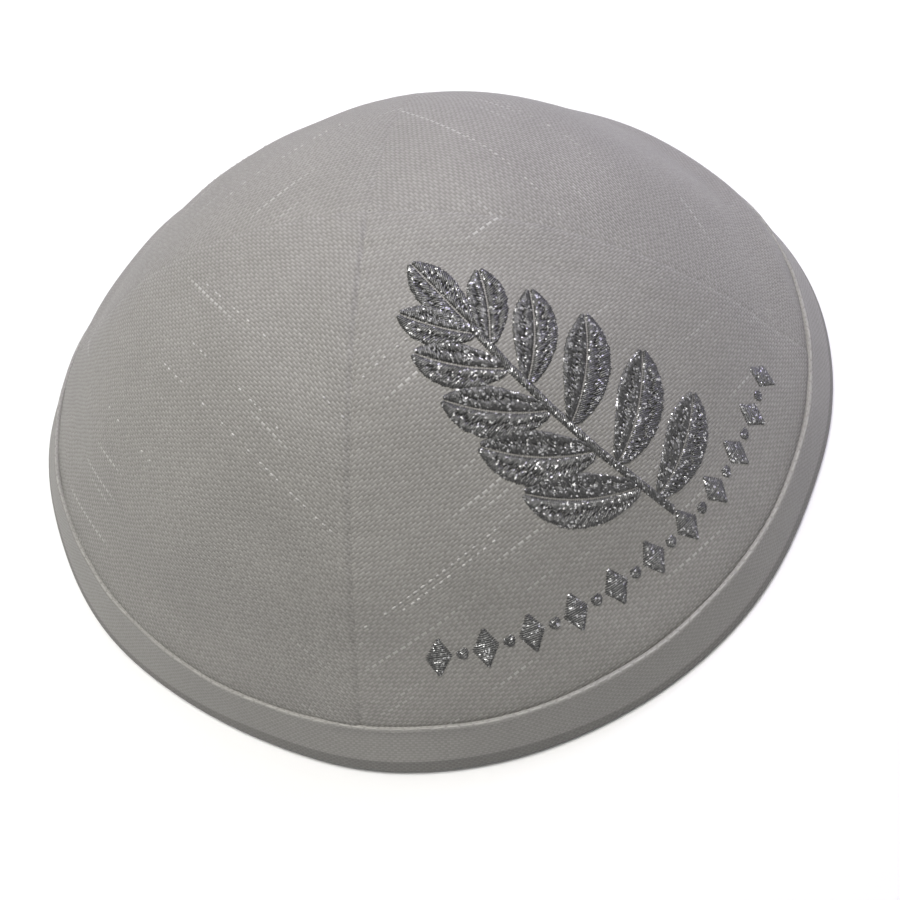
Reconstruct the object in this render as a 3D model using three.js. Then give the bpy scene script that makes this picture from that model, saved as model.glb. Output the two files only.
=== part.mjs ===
// A skullcap sewn from four cloth panels, with a folded band round its rim.
// Millimetres, +Z up. The cap lies rim down, and its four seams run along the X and Y axes.

import * as THREE from "three";

// Dome: the outside of the panels
const RIM_RADIUS = 86; // mean radius where the dome would meet the table
const CROWN_HEIGHT = 55; // from the table to the crown
const PROFILE_POWER = 2.2; // 2 is a parabola, more gives a flatter crown and a steeper wall
const CROWN_LEAN = 3.4; // how far the crown has slid toward +X

// The rim isn't a true circle: each row adds waves round it, with one peak at the angle given.
const RIM_WAVES = [
  { count: 2, height: 2.6, peakDegrees: 0 },
  { count: 3, height: 1.2, peakDegrees: 48 },
];

// Each panel fills a quarter turn from its first seam.
// Hollow is how far its middle sinks, as a share of the radius there, and a swelling is below zero.
const PANELS = [
  { name: "panel_back_right", firstSeamDegrees: 0, hollow: -0.016 },
  { name: "panel_back_left", firstSeamDegrees: 90, hollow: 0.039 },
  { name: "panel_front_left", firstSeamDegrees: 180, hollow: 0.008 },
  { name: "panel_front_right", firstSeamDegrees: 270, hollow: 0.008 },
];
const PANEL_THICKNESS = 1.2;
const SEAM_GAP = 0.3; // between neighbouring panels
const TIP_RADIUS = 0.5; // where the four tips stop short of the crown

// Band: one strip folded over the lower edges of the panels
const BAND_OUTER_WIDTH = 10.5; // up the wall from the table
const BAND_INNER_WIDTH = 9.5;
const BAND_THICKNESS = 1;
const BAND_CLEARANCE = 0.3; // between the strip and the panels in its fold
const FOLD_HEIGHT = 2.2; // up the wall to the bottom of the fold

// Facets
const PANEL_COLUMNS = 14;
const PANEL_ROWS = 14;
const BAND_STEPS = 84;
const BAND_ARC_SEGMENTS = 6;

// Length of the wall for one whole step of the down fraction, measured at the rim
const WALL_LENGTH = Math.hypot(RIM_RADIUS, CROWN_HEIGHT * PROFILE_POWER);
const HEM_DOWN = 1 - BAND_OUTER_WIDTH / WALL_LENGTH;
const QUARTER_TURN = Math.PI / 2;

function rimRadius(angle) {
  let radius = RIM_RADIUS;
  for (const { count, height, peakDegrees } of RIM_WAVES) {
    radius += height * Math.cos(count * (angle - THREE.MathUtils.degToRad(peakDegrees)));
  }
  return radius;
}

// A point of the dome: down is 0 at the crown and 1 at the table, and sink is a share of the radius.
function domePoint(angle, down, sink = 0) {
  const radius = rimRadius(angle) * down * (1 - sink);
  const rise = 1 - down ** PROFILE_POWER;
  return new THREE.Vector3(
    radius * Math.cos(angle) + CROWN_LEAN * rise,
    radius * Math.sin(angle),
    CROWN_HEIGHT * rise,
  );
}

// The way out of the dome, in the upright plane through that angle
function domeNormal(angle, down) {
  const slope = (CROWN_HEIGHT * PROFILE_POWER * down ** (PROFILE_POWER - 1)) / RIM_RADIUS;
  return new THREE.Vector3(slope * Math.cos(angle), slope * Math.sin(angle), 1).normalize();
}

// A closed body through rings of points. Open lofts get end faces that pair each ring's two halves.
function loft(rings, joinEnds) {
  const size = rings[0].length;
  const last = rings.length - 1;
  const triangles = [];
  const quad = (a, b, c, d) => triangles.push(a, b, c, a, c, d);
  for (let ring = 0; ring < rings.length - (joinEnds ? 0 : 1); ring++) {
    const here = ring * size;
    const there = ((ring + 1) % rings.length) * size;
    for (let i = 0; i < size; i++) {
      const next = (i + 1) % size;
      quad(here + i, here + next, there + next, there + i);
    }
  }
  for (let i = 0; !joinEnds && i < size / 2 - 1; i++) {
    const opposite = size - 1 - i;
    const end = last * size;
    quad(i, opposite, opposite - 1, i + 1);
    quad(end + i, end + i + 1, end + opposite - 1, end + opposite);
  }
  const geometry = new THREE.BufferGeometry().setFromPoints(rings.flat());
  geometry.setIndex(triangles);
  geometry.computeVertexNormals();
  return geometry;
}

// A panel is lofted from seam to seam: each ring goes down its outside and back up its inside.
function panelGeometry({ firstSeamDegrees, hollow }) {
  const firstSeam = THREE.MathUtils.degToRad(firstSeamDegrees);
  const tipDown = TIP_RADIUS / RIM_RADIUS;
  const edgeDown = 1 - (FOLD_HEIGHT + BAND_CLEARANCE) / WALL_LENGTH;
  const rings = [];
  for (let column = 0; column <= PANEL_COLUMNS; column++) {
    const across = column / PANEL_COLUMNS;
    const outside = [];
    const inside = [];
    for (let row = 0; row <= PANEL_ROWS; row++) {
      const down = THREE.MathUtils.lerp(tipDown, edgeDown, row / PANEL_ROWS);
      const trim = Math.asin(SEAM_GAP / 2 / (RIM_RADIUS * down));
      const angle = firstSeam + THREE.MathUtils.lerp(trim, QUARTER_TURN - trim, across);
      const fullness = Math.sin(Math.PI * across) * Math.sin(Math.PI * Math.min(down / HEM_DOWN, 1));
      const point = domePoint(angle, down, hollow * fullness);
      outside.push(point);
      inside.push(point.clone().addScaledVector(domeNormal(angle, down), -PANEL_THICKNESS));
    }
    rings.push([...outside, ...inside.reverse()]);
  }
  return loft(rings, false);
}

// The band's section: x runs outward from the panels' outside, and y runs up the wall.
function bandSection() {
  const slotOuter = BAND_CLEARANCE;
  const slotInner = -PANEL_THICKNESS - BAND_CLEARANCE;
  const faceOuter = slotOuter + BAND_THICKNESS;
  const faceInner = slotInner - BAND_THICKNESS;
  const edgeRadius = BAND_THICKNESS / 2;
  const outerTop = BAND_OUTER_WIDTH - edgeRadius;
  const innerTop = BAND_INNER_WIDTH - edgeRadius;
  const section = new THREE.Shape();
  section.moveTo(faceOuter, FOLD_HEIGHT);
  section.lineTo(faceOuter, outerTop);
  section.absarc(slotOuter + edgeRadius, outerTop, edgeRadius, 0, Math.PI);
  section.lineTo(slotOuter, FOLD_HEIGHT);
  section.lineTo(slotInner, FOLD_HEIGHT);
  section.lineTo(slotInner, innerTop);
  section.absarc(faceInner + edgeRadius, innerTop, edgeRadius, 0, Math.PI);
  section.lineTo(faceInner, FOLD_HEIGHT);
  const foldRadius = (faceOuter - faceInner) / 2;
  section.absarc(faceInner + foldRadius, FOLD_HEIGHT, foldRadius, Math.PI, 2 * Math.PI);
  // The last point repeats the first. Reversed, the loop runs down its outside, as a panel's rings do.
  const points = section.getPoints(BAND_ARC_SEGMENTS / 2);
  points.pop();
  return points.reverse();
}

// The band is lofted right round the rim, and lies flat where its fold meets the table.
function bandGeometry() {
  const section = bandSection();
  const rings = [];
  for (let step = 0; step < BAND_STEPS; step++) {
    const angle = (2 * Math.PI * step) / BAND_STEPS;
    const ring = section.map(({ x, y }) => {
      const down = 1 - y / WALL_LENGTH;
      const point = domePoint(angle, down).addScaledVector(domeNormal(angle, down), x);
      point.z = Math.max(point.z, 0);
      return point;
    });
    rings.push(ring);
  }
  return loft(rings, true);
}

function cloth(name, geometry, color) {
  const material = new THREE.MeshStandardMaterial({ color, roughness: 0.8, metalness: 0 });
  const mesh = new THREE.Mesh(geometry, material);
  mesh.name = name;
  return mesh;
}

const PANEL_COLOR = 0xa19f9b;
const BAND_COLOR = 0x96948f;

const cap = new THREE.Group();
for (const panel of PANELS) {
  cap.add(cloth(panel.name, panelGeometry(panel), PANEL_COLOR));
}
cap.add(cloth("rim_band", bandGeometry(), BAND_COLOR));

// The origin is the middle of the cap's footprint on the table.
const middle = new THREE.Box3().setFromObject(cap).getCenter(new THREE.Vector3());
cap.position.set(-middle.x, -middle.y, 0);

const part = new THREE.Group();
part.add(cap);

export default part;
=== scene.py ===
# %% [markdown]
# A four-panel skullcap, built as a lesson in Blender.
# The real cap is four curved cloth panels sewn together at their sides, with a strip of the same cloth
# folded over the rim and silver embroidery on one panel. The solid model gives the sizes and the place
# of every piece. This script dresses it: each solid is replaced by a cloth piece that has seams, folds
# and a weave. The first step loads that model.

# %% Load the solid model
import functools
import math

import bpy
import numpy as np
from mathutils import Matrix, Vector


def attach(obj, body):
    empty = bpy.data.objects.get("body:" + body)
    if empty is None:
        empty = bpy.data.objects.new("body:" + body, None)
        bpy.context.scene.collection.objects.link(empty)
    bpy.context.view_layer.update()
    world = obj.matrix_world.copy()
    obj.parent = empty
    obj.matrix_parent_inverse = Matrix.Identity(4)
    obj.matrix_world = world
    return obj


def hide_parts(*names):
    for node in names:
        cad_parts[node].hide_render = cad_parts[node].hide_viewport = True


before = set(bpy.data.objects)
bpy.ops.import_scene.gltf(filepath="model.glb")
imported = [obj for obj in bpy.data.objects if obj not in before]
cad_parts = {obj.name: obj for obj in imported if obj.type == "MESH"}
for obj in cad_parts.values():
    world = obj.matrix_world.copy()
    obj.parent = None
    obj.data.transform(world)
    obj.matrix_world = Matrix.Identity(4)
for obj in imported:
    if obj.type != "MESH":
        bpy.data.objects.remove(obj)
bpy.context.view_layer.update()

print("solid pieces:", sorted(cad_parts))

# %% [markdown]
# The dome. A sewn cap has no exact geometric form, but its outside is close to a bowl: the radius grows
# evenly from the crown to the rim, and the height falls along a curve a little flatter on top than a
# parabola. The rim is slightly oval with a weak three-cornered wave, and the crown leans a little to
# one side. A formula with few sizes gives all of that, and every later piece can ask it for a point on
# the cloth. It could also be sculpted, but then the stitches would have nothing exact to lie on.
# All lengths here are millimetres, and they become metres only when a mesh is made. A point's angle goes
# round the rim, and its down fraction is 0 at the crown and 1 at the floor.

# %% Sizes of the dome
MM = 0.001
RIM_RADIUS = 86.0
CROWN_HEIGHT = 55.0
PROFILE_POWER = 2.2
CROWN_LEAN = 3.4
RIM_WAVES = [dict(count=2, height=2.6, peak=0.0), dict(count=3, height=1.2, peak=48.0)]
RIM_STEP_DEGREES = 0.25


def rim_radius(angle):
    radius = np.full_like(angle, RIM_RADIUS)
    for wave in RIM_WAVES:
        radius = radius + wave["height"] * np.cos(wave["count"] * (angle - math.radians(wave["peak"])))
    return radius


def dome_normal(angle, down):
    slope = CROWN_HEIGHT * PROFILE_POWER * down ** (PROFILE_POWER - 1) / RIM_RADIUS
    normal = np.stack([slope * np.cos(angle), slope * np.sin(angle), np.ones_like(slope)], -1)
    return normal / np.linalg.norm(normal, axis=-1, keepdims=True)


def leaning_dome(angle, down, sink):
    radius = rim_radius(angle) * down * (1 - sink)
    rise = 1 - down**PROFILE_POWER
    x = radius * np.cos(angle) + CROWN_LEAN * rise
    return np.stack([x, radius * np.sin(angle), CROWN_HEIGHT * rise], -1)


# The origin is the middle of the footprint, so the oval's own middle is found once and taken away.
rim_angles = np.radians(np.arange(0.0, 360.0, RIM_STEP_DEGREES))
rim_line = leaning_dome(rim_angles, np.ones_like(rim_angles), 0.0)[:, :2]
FOOTPRINT_MIDDLE = np.append((rim_line.max(0) + rim_line.min(0)) / 2, 0.0)


def dome_point(angle, down, sink=0.0, lift=0.0):
    point = leaning_dome(angle, down, sink) - FOOTPRINT_MIDDLE
    return point + dome_normal(angle, down) * np.asarray(lift)[..., None]


print("footprint middle, mm:", FOOTPRINT_MIDDLE.round(2))

# %% [markdown]
# The panels as flat patterns. A tailor cuts each panel flat, with the warp threads along its middle
# line, so that the weft runs straight across it. Weave, slubs and embroidery therefore have to be laid
# out on the flat pattern and not on the dome. The pattern used here unrolls the dome like a cone: a
# point keeps its distance from the crown and its distance from the panel's middle line. A projection
# from above would be simpler, but it would stretch the weave on the steep sides.

# %% Flat pattern of a panel
QUARTER_TURN = math.pi / 2
BAND_WIDTH = 10.5
WALL_LENGTH = math.hypot(RIM_RADIUS, CROWN_HEIGHT * PROFILE_POWER)
HEM_DOWN = 1 - BAND_WIDTH / WALL_LENGTH
WALL_STEPS = 1200
PAST_RIM = 1.03
NEARLY_ZERO = 1e-6
down_steps = np.linspace(0.0, PAST_RIM, WALL_STEPS)
wall_slope = CROWN_HEIGHT * PROFILE_POWER * down_steps ** (PROFILE_POWER - 1)
wall_steps = np.hypot(RIM_RADIUS, (wall_slope[1:] + wall_slope[:-1]) / 2) * np.diff(down_steps)
wall_lengths = np.concatenate([[0.0], np.cumsum(wall_steps)])


def from_crown(down):
    """Distance from the crown, over the cloth."""
    return np.interp(down, down_steps, wall_lengths)


def flat_from_dome(turn, down):
    """Pattern place (across, along) of a point that is turned from the panel's middle line."""
    length = from_crown(down)
    swing = turn * RIM_RADIUS * down / np.maximum(length, NEARLY_ZERO)
    return np.stack([length * np.sin(swing), length * np.cos(swing)], -1)


def dome_from_flat(flat):
    """Turn from the middle line and down fraction of a pattern place."""
    length = np.hypot(flat[..., 0], flat[..., 1])
    down = np.interp(length, wall_lengths, down_steps)
    swing = np.arctan2(flat[..., 0], flat[..., 1])
    return swing * length / np.maximum(RIM_RADIUS * down, NEARLY_ZERO), down


hem_length = float(from_crown(HEM_DOWN))
print("from crown to hem over the cloth, mm:", round(hem_length, 1))

# %% [markdown]
# The relief of the cloth. At each seam both edges roll down into a groove. Under one side of each seam
# lie the two turned edges, pressed over to that side, and they lift the cloth in a strip with a soft
# border. The thread gathers the cloth into faint puckers beside the seam. At the band the panel puffs
# out until it is nearly level with it. No panel is quite even, so slow waves run over all of it. And
# the soft rim has been pushed in at two places, where the slack cloth sags over the band. All of these
# move the mesh. Bump would be cheaper, but the outline and the shadows have to show them too.

# %% Sizes of the relief
PANELS = [
    dict(name="panel_back_right", seam=0.0, hollow=0.0, first_fold=0.0, last_fold=0.0),
    dict(name="panel_back_left", seam=90.0, hollow=0.039, first_fold=0.12, last_fold=0.0),
    dict(name="panel_front_left", seam=180.0, hollow=0.008, first_fold=0.15, last_fold=0.3),
    dict(name="panel_front_right", seam=270.0, hollow=0.017, first_fold=0.0, last_fold=0.22),
]
GROOVE_DEPTHS = {0.0: 0.06, 90.0: 0.03, 180.0: 0.05, 270.0: 0.14}
GROOVE_WIDTH = 0.6
FOLD_WIDTH = 7.0
FOLD_BORDER = 2.6
FOLD_ROUND = 1.3
FOLD_LEAST = 0.45
FOLD_FADE_LENGTH = 45.0
CROWN_EASE = 3.0
PUCKER_HEIGHT = 0.05
PUCKER_LENGTH = 5.5
PUCKER_REACH = 5.0
PUCKER_SWAY = 1.7
PUCKER_SWAY_LENGTH = 9.0
HEM_PUFF = 0.8
HEM_PUFF_UP = 9.0
HEM_TUCK = 1.4
UNEVEN_HEIGHT = 0.22
UNEVEN_COUNT = 14
UNEVEN_LENGTH = 42.0
UNEVEN_ENDS_UP = 12.0
CLOTH_SEED = 7
noise = np.random.default_rng(CLOTH_SEED)
uneven_waves = noise.normal(0.0, 1.0, (UNEVEN_COUNT, 3)) * (2 * math.pi / UNEVEN_LENGTH)
uneven_phases = noise.uniform(0.0, 2 * math.pi, UNEVEN_COUNT)
print("raised strip beside a seam, mm:", max(p["last_fold"] for p in PANELS))

# %% Pushed rim and sagging hem
# How far the soft rim is pushed in from its even curve, by degrees round it
RIM_PUSH = [
    (0, 0.0), (24, 0.0), (38, 1.9), (50, 2.3), (63, 0.7), (75, -0.8), (90, -0.8), (105, 0.0), (130, 0.8),
    (146, 0.6), (157, 2.3), (168, 2.3), (182, 0.6), (198, 0.0), (360, 0.0),
]
PUSH_FROM_DOWN = 0.5
PUSH_FULL_DOWN = 0.9
# How far the slack cloth sags out over the band there, by degrees round the rim
HEM_SAG = [
    (0, 0.0), (4, 0.0), (18, 1.5), (30, 1.9), (45, 1.7), (53, 1.5), (66, 0.0), (140, 0.0), (152, 1.1),
    (172, 1.3), (186, 0.0), (360, 0.0),
]
HEM_SAG_UP = 7.0
HEM_SAG_SPREAD = 6.0
EASE_DEGREES = 21
ease = np.hanning(EASE_DEGREES) / np.hanning(EASE_DEGREES).sum()
whole_degrees = np.arange(-EASE_DEGREES, 360 + EASE_DEGREES)


def eased_table(table):
    """A function of the angle that goes smoothly through a table of degrees and lengths."""
    degrees, lengths = np.transpose(table)
    by_degree = np.convolve(np.interp(whole_degrees % 360, degrees, lengths), ease, "same")
    return lambda angle: np.interp(np.degrees(angle) % 360.0, whole_degrees, by_degree)


rim_push = eased_table(RIM_PUSH)
hem_sag = eased_table(HEM_SAG)
print("rim pushed in at most, mm:", rim_push(rim_angles).max().round(2))

# %% Relief of seams and cloth
def smooth_step(x):
    x = np.clip(x, 0.0, 1.0)
    return x * x * (3 - 2 * x)


def uneven(points):
    waves = np.sin(points @ uneven_waves.T + uneven_phases)
    return UNEVEN_HEIGHT * waves.mean(-1) * math.sqrt(UNEVEN_COUNT)


def from_seams(panel, angle, down):
    """Distances over the cloth from the panel's first seam and from its last."""
    first = math.radians(panel["seam"])
    radius = RIM_RADIUS * down
    return radius * np.sin(angle - first), radius * np.sin(first + QUARTER_TURN - angle)


def seam_relief(seam, distance, along, fold):
    groove = -GROOVE_DEPTHS[seam % 360.0] * np.exp(-((distance / GROOVE_WIDTH) ** 2))
    strip = fold * smooth_step((FOLD_WIDTH - distance) / FOLD_BORDER + 0.5)
    strip = strip * smooth_step(distance / FOLD_ROUND)
    fading = FOLD_LEAST + (1 - FOLD_LEAST) * np.exp(-along / FOLD_FADE_LENGTH)
    sway = PUCKER_SWAY * np.sin(along / PUCKER_SWAY_LENGTH)
    pucker = PUCKER_HEIGHT * np.sin(2 * math.pi * along / PUCKER_LENGTH + sway)
    return groove + strip * fading + pucker * np.exp(-distance / PUCKER_REACH)


def panel_relief(panel, angle, down):
    along = from_crown(down)
    from_first, from_last = from_seams(panel, angle, down)
    relief = seam_relief(panel["seam"], from_first, along, panel["first_fold"])
    relief = relief + seam_relief(panel["seam"] + 90.0, from_last, along, panel["last_fold"])
    relief = relief * smooth_step(along / CROWN_EASE)
    above_hem = hem_length - along
    puff = HEM_PUFF * np.exp(-((np.maximum(above_hem, 0.0) / HEM_PUFF_UP) ** 2))
    puff = puff + hem_sag(angle) * np.exp(-(((above_hem - HEM_SAG_UP) / HEM_SAG_SPREAD) ** 2))
    puff = puff * smooth_step((above_hem + HEM_TUCK) / HEM_TUCK)
    return relief + puff + uneven(dome_point(angle, down)) * smooth_step(above_hem / UNEVEN_ENDS_UP)


def panel_sink(panel, angle, down):
    across = (angle - math.radians(panel["seam"])) / QUARTER_TURN
    fullness = np.sin(math.pi * across) * np.sin(math.pi * np.minimum(down / HEM_DOWN, 1))
    low = smooth_step((down - PUSH_FROM_DOWN) / (PUSH_FULL_DOWN - PUSH_FROM_DOWN))
    return panel["hollow"] * fullness + rim_push(angle) * low / (rim_radius(angle) * down)


def panel_outside(panel, angle, down, lift=0.0):
    relief = panel_relief(panel, angle, down) + lift
    return dome_point(angle, down, panel_sink(panel, angle, down), relief)


crown = panel_outside(PANELS[0], np.array(0.0), np.array(NEARLY_ZERO))
print("crown of the cloth, mm:", crown.round(2))

# %% [markdown]
# Cutting a panel. The mesh is a grid from seam to seam and from crown to rim, once for the outside and
# once for the inside, closed along its four edges. The columns crowd toward the seams, where the groove
# and the folded edges need them, and stay wide in the middle. Subdividing a coarse panel would spend the
# same faces everywhere. The pattern place of each point is kept as its UV, in millimetres, so the weave
# in the material follows the cut.

# %% A closed cloth from two grids
def grid_faces(rows, columns, offset, flip):
    index = np.arange((rows + 1) * (columns + 1)).reshape(rows + 1, columns + 1) + offset
    corners = [index[:-1, :-1], index[1:, :-1], index[1:, 1:], index[:-1, 1:]]
    faces = np.stack(corners, -1).reshape(-1, 4)
    return faces[:, ::-1] if flip else faces


def edge_faces(rows, columns):
    index = np.arange((rows + 1) * (columns + 1)).reshape(rows + 1, columns + 1)
    loop = np.concatenate([index[:-1, 0], index[-1, :-1], index[:0:-1, -1], index[0, :0:-1]])
    follow = np.roll(loop, -1)
    inside = index.size
    return np.stack([loop, loop + inside, follow + inside, follow], -1)


def make_mesh(name, points, faces, flat=None):
    mesh = bpy.data.meshes.new(name)
    mesh.from_pydata((np.asarray(points) * MM).tolist(), [], [list(face) for face in faces])
    mesh.polygons.foreach_set("use_smooth", np.ones(len(mesh.polygons), bool))
    if flat is not None:
        corner_points = np.empty(len(mesh.loops), np.int32)
        mesh.loops.foreach_get("vertex_index", corner_points)
        pattern = mesh.uv_layers.new(name="pattern")
        pattern.data.foreach_set("uv", np.asarray(flat)[corner_points].astype(np.float32).ravel())
    mesh.update()
    piece = bpy.data.objects.new(name, mesh)
    bpy.context.scene.collection.objects.link(piece)
    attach(piece, "root")
    return piece


print("faces of a 2 by 3 cloth:", 2 * len(grid_faces(2, 3, 0, False)) + len(edge_faces(2, 3)))

# %% Sew the four panels
PANEL_THICKNESS = 1.2
PANEL_ROWS = 132
PANEL_COLUMNS = 124
SEAM_CROWDING = 1.7
SEAM_GAP = 0.01
TIP_RADIUS = 0.03
PANEL_EDGE_UP = 5.0
INSIDE_RIDGE = 0.4
INSIDE_RIDGE_BORDER = 0.8
TIP_DOWN = TIP_RADIUS / RIM_RADIUS
PANEL_EDGE_DOWN = 1 - PANEL_EDGE_UP / WALL_LENGTH


def panel_inside_relief(panel, angle, down):
    """Inside, the turned seam edges lie as flat ridges along both seams."""
    from_seam = np.minimum(*from_seams(panel, angle, down))
    ridge = INSIDE_RIDGE * smooth_step((FOLD_WIDTH - from_seam) / INSIDE_RIDGE_BORDER + 0.5)
    return -PANEL_THICKNESS - ridge * smooth_step(from_seam / INSIDE_RIDGE_BORDER)


def sew_panel(panel):
    side = np.linspace(-1.0, 1.0, PANEL_COLUMNS + 1)
    across = 0.5 + 0.5 * np.sign(side) * (1 - (1 - np.abs(side)) ** SEAM_CROWDING)
    down = np.linspace(TIP_DOWN, PANEL_EDGE_DOWN, PANEL_ROWS + 1)
    trim = np.arcsin(SEAM_GAP / 2 / (RIM_RADIUS * down))[:, None]
    first = math.radians(panel["seam"])
    angle = first + trim + across[None, :] * (QUARTER_TURN - 2 * trim)
    down = np.broadcast_to(down[:, None], angle.shape)
    outside = panel_outside(panel, angle, down)
    sink = panel_sink(panel, angle, down)
    inside = dome_point(angle, down, sink, panel_inside_relief(panel, angle, down))
    flat = flat_from_dome(angle - first - QUARTER_TURN / 2, down).reshape(-1, 2)
    points = np.concatenate([outside.reshape(-1, 3), inside.reshape(-1, 3)])
    faces = np.concatenate([
        grid_faces(PANEL_ROWS, PANEL_COLUMNS, 0, False),
        grid_faces(PANEL_ROWS, PANEL_COLUMNS, outside.size // 3, True),
        edge_faces(PANEL_ROWS, PANEL_COLUMNS),
    ])
    piece = make_mesh(panel["name"] + "_cloth", points, faces, np.concatenate([flat, flat]))
    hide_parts(panel["name"])
    return piece


panel_pieces = {panel["name"]: sew_panel(panel) for panel in PANELS}
print("panel faces:", {name: len(piece.data.polygons) for name, piece in panel_pieces.items()})

# %% [markdown]
# The band. On the real cap one strip of cloth is folded round the raw edges of all four panels and sewn
# through. Its upper edge is turned under, so it ends in a soft roll that catches the light, and its
# lower edge is pressed to a crease before it turns under the rim. The section below is drawn in the
# upright plane through the rim: how far outward from the panels, and how far up the wall. It is carried
# round the rim with a slight waver, as a hand guides the strip under the needle. A ready-made bevel
# along a curve would be quicker, but it couldn't change the crease and the reach on its way round.

# %% Section of the band
BAND_PROUD = 1.3
BAND_INNER_WIDTH = 9.5
BAND_CLOTH = 1.0
ROLL_RADIUS = 0.64
ROLL_ARC = (190, -25)
BELOW_ROLL_IN = 0.12
BELOW_ROLL_DOWN = 0.25
CREASE_UP = 3.0
CREASE_IN = 0.02
CREASE_SOFT = 0.25
CREASE_DROP_OUT = 1.3
EDGE_UNDER_RADIUS = 0.9
UNDER_ARC = (-10, -90)
FLOOR_END_IN = 2.0
FOLD_BOTTOM_UP = 2.3
INNER_FACE_UP = 0.6
SLOT_OUT = 0.12
SLOT_IN = -PANEL_THICKNESS - 0.2
SLOT_TOP_DOWN = 1.5
ROLL_POINTS = 12
FACE_POINTS = 14
EDGE_POINTS = 6
INNER_POINTS = 8
INNER_EDGE_POINTS = 7
WALL_TILT = math.atan2(CROWN_HEIGHT * PROFILE_POWER, RIM_RADIUS)


def arc(center, radius, start, end, count):
    turns = np.radians(np.linspace(start, end, count))
    return [(center[0] + radius * math.cos(t), center[1] + radius * math.sin(t)) for t in turns]


def line(start, end, count):
    return [tuple(np.array(start) + (np.array(end) - start) * t) for t in np.linspace(0, 1, count)]


def wall_to_upright(places):
    """From outward and up the wall to outward from the rim and up from the floor."""
    out, up = np.asarray(places).T
    return np.stack([
        out * math.sin(WALL_TILT) - up * math.cos(WALL_TILT),
        out * math.cos(WALL_TILT) + up * math.sin(WALL_TILT),
    ], -1)


def band_section():
    roll_center = (SLOT_OUT + ROLL_RADIUS, BAND_WIDTH - ROLL_RADIUS)
    roll = arc(roll_center, ROLL_RADIUS, *ROLL_ARC, ROLL_POINTS)
    face_out = roll_center[0] + ROLL_RADIUS - BELOW_ROLL_IN
    face_up = roll_center[1] - ROLL_RADIUS - BELOW_ROLL_DOWN
    face = line((face_out, face_up), (BAND_PROUD, CREASE_UP + CREASE_SOFT), FACE_POINTS)
    upper = wall_to_upright(roll + face)
    crease = wall_to_upright([(BAND_PROUD - CREASE_IN, CREASE_UP)])[0]
    lip = crease[0] + CREASE_DROP_OUT
    drop = line(crease, (lip, EDGE_UNDER_RADIUS), EDGE_POINTS)
    under_center = (lip - EDGE_UNDER_RADIUS, EDGE_UNDER_RADIUS)
    under = arc(under_center, EDGE_UNDER_RADIUS, *UNDER_ARC, EDGE_POINTS)
    floor_end = (crease[0] - FLOOR_END_IN, 0.0)
    inner_out = SLOT_IN - BAND_CLOTH
    inner_low = wall_to_upright([(inner_out, FOLD_BOTTOM_UP)])[0]
    inner_roll = (inner_out + BAND_CLOTH / 2, BAND_INNER_WIDTH - BAND_CLOTH / 2)
    inner_start = (inner_out, FOLD_BOTTOM_UP + INNER_FACE_UP)
    inner_face = line(inner_start, (inner_out, inner_roll[1]), INNER_POINTS)[:-1]
    inner_edge = arc(inner_roll, BAND_CLOTH / 2, 180, 0, INNER_EDGE_POINTS)
    slot_top = (SLOT_OUT, BAND_WIDTH - SLOT_TOP_DOWN)
    slot = [(SLOT_IN, FOLD_BOTTOM_UP), (SLOT_OUT, FOLD_BOTTOM_UP), slot_top]
    inner = wall_to_upright(inner_face + inner_edge + slot)
    return np.concatenate([upper, drop, under, [floor_end], [inner_low], inner])


section = band_section()
section_lengths = np.concatenate([[0], np.cumsum(np.linalg.norm(np.diff(section, axis=0), axis=1))])
print("band section points:", len(section), "lowest, mm:", section[:, 1].min().round(2))

# %% Waver and reach of the band
BAND_WAVER = 0.16
# Each row adds waves round the rim: their count, phase and share
WAVER_WAVES = [(17, 1.0, 1.0), (29, 4.0, 0.8), (7, 0.0, 0.6)]
WAVER_OUT = 0.35
WAVER_UP = 0.5
WAVER_LAG = 0.3
# The waver belongs to the upper part of the band, and the reach of the fold to the part below it.
UPPER_FROM = 2.0
UPPER_FULL = 8.0
# How far the soft fold reaches past the even rim, by degrees round it
RIM_REACH = [
    (0, 0.4), (12, 0.7), (25, -0.4), (40, -1.1), (60, -1.1), (90, -0.6), (140, -0.6), (172, -0.7),
    (181, 0.0), (189, 0.8), (198, 0.2), (208, -0.2), (216, 0.3), (226, 0.7), (242, -0.3), (256, -0.5),
    (270, 0.5), (285, 0.1), (300, -0.4), (313, -0.3), (325, -0.2), (341, -0.9), (352, 0.1), (360, 0.4),
]
fold_reach = eased_table(RIM_REACH)


def waver(angle):
    return BAND_WAVER * sum(share * np.sin(count * angle + phase) for count, phase, share in WAVER_WAVES)


def upper_share(height):
    return smooth_step((height - UPPER_FROM) / (UPPER_FULL - UPPER_FROM))


def band_point(angle, out, height):
    """A point out from the rim and up from the floor, moved by the waver and the push of the rim."""
    upper = upper_share(height)
    radius = rim_radius(angle) + out - WAVER_OUT * upper * waver(angle) - rim_push(angle)
    z = height + WAVER_UP * upper * waver(angle + WAVER_LAG)
    x = radius * np.cos(angle) + CROWN_LEAN * z / CROWN_HEIGHT
    return np.stack([x, radius * np.sin(angle), z], -1) - FOOTPRINT_MIDDLE


print("fold reaches past the rim at most, mm:", fold_reach(rim_angles).max().round(2))

# %% Carry the section round the rim
BAND_STEPS = 560
RIM_LENGTH = 2 * math.pi * RIM_RADIUS
# The crease is pressed hard along the front and flattens out toward both sides.
PRESS_MIDDLE = 273.0
PRESS_FADE = (0.84, 0.985)
CREASE_FLATTEN = 0.27
OUTER_POINTS = ROLL_POINTS + FACE_POINTS + EDGE_POINTS
crease_height = float(section[ROLL_POINTS + FACE_POINTS, 1])
face_top_height = float(section[ROLL_POINTS, 1])


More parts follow.
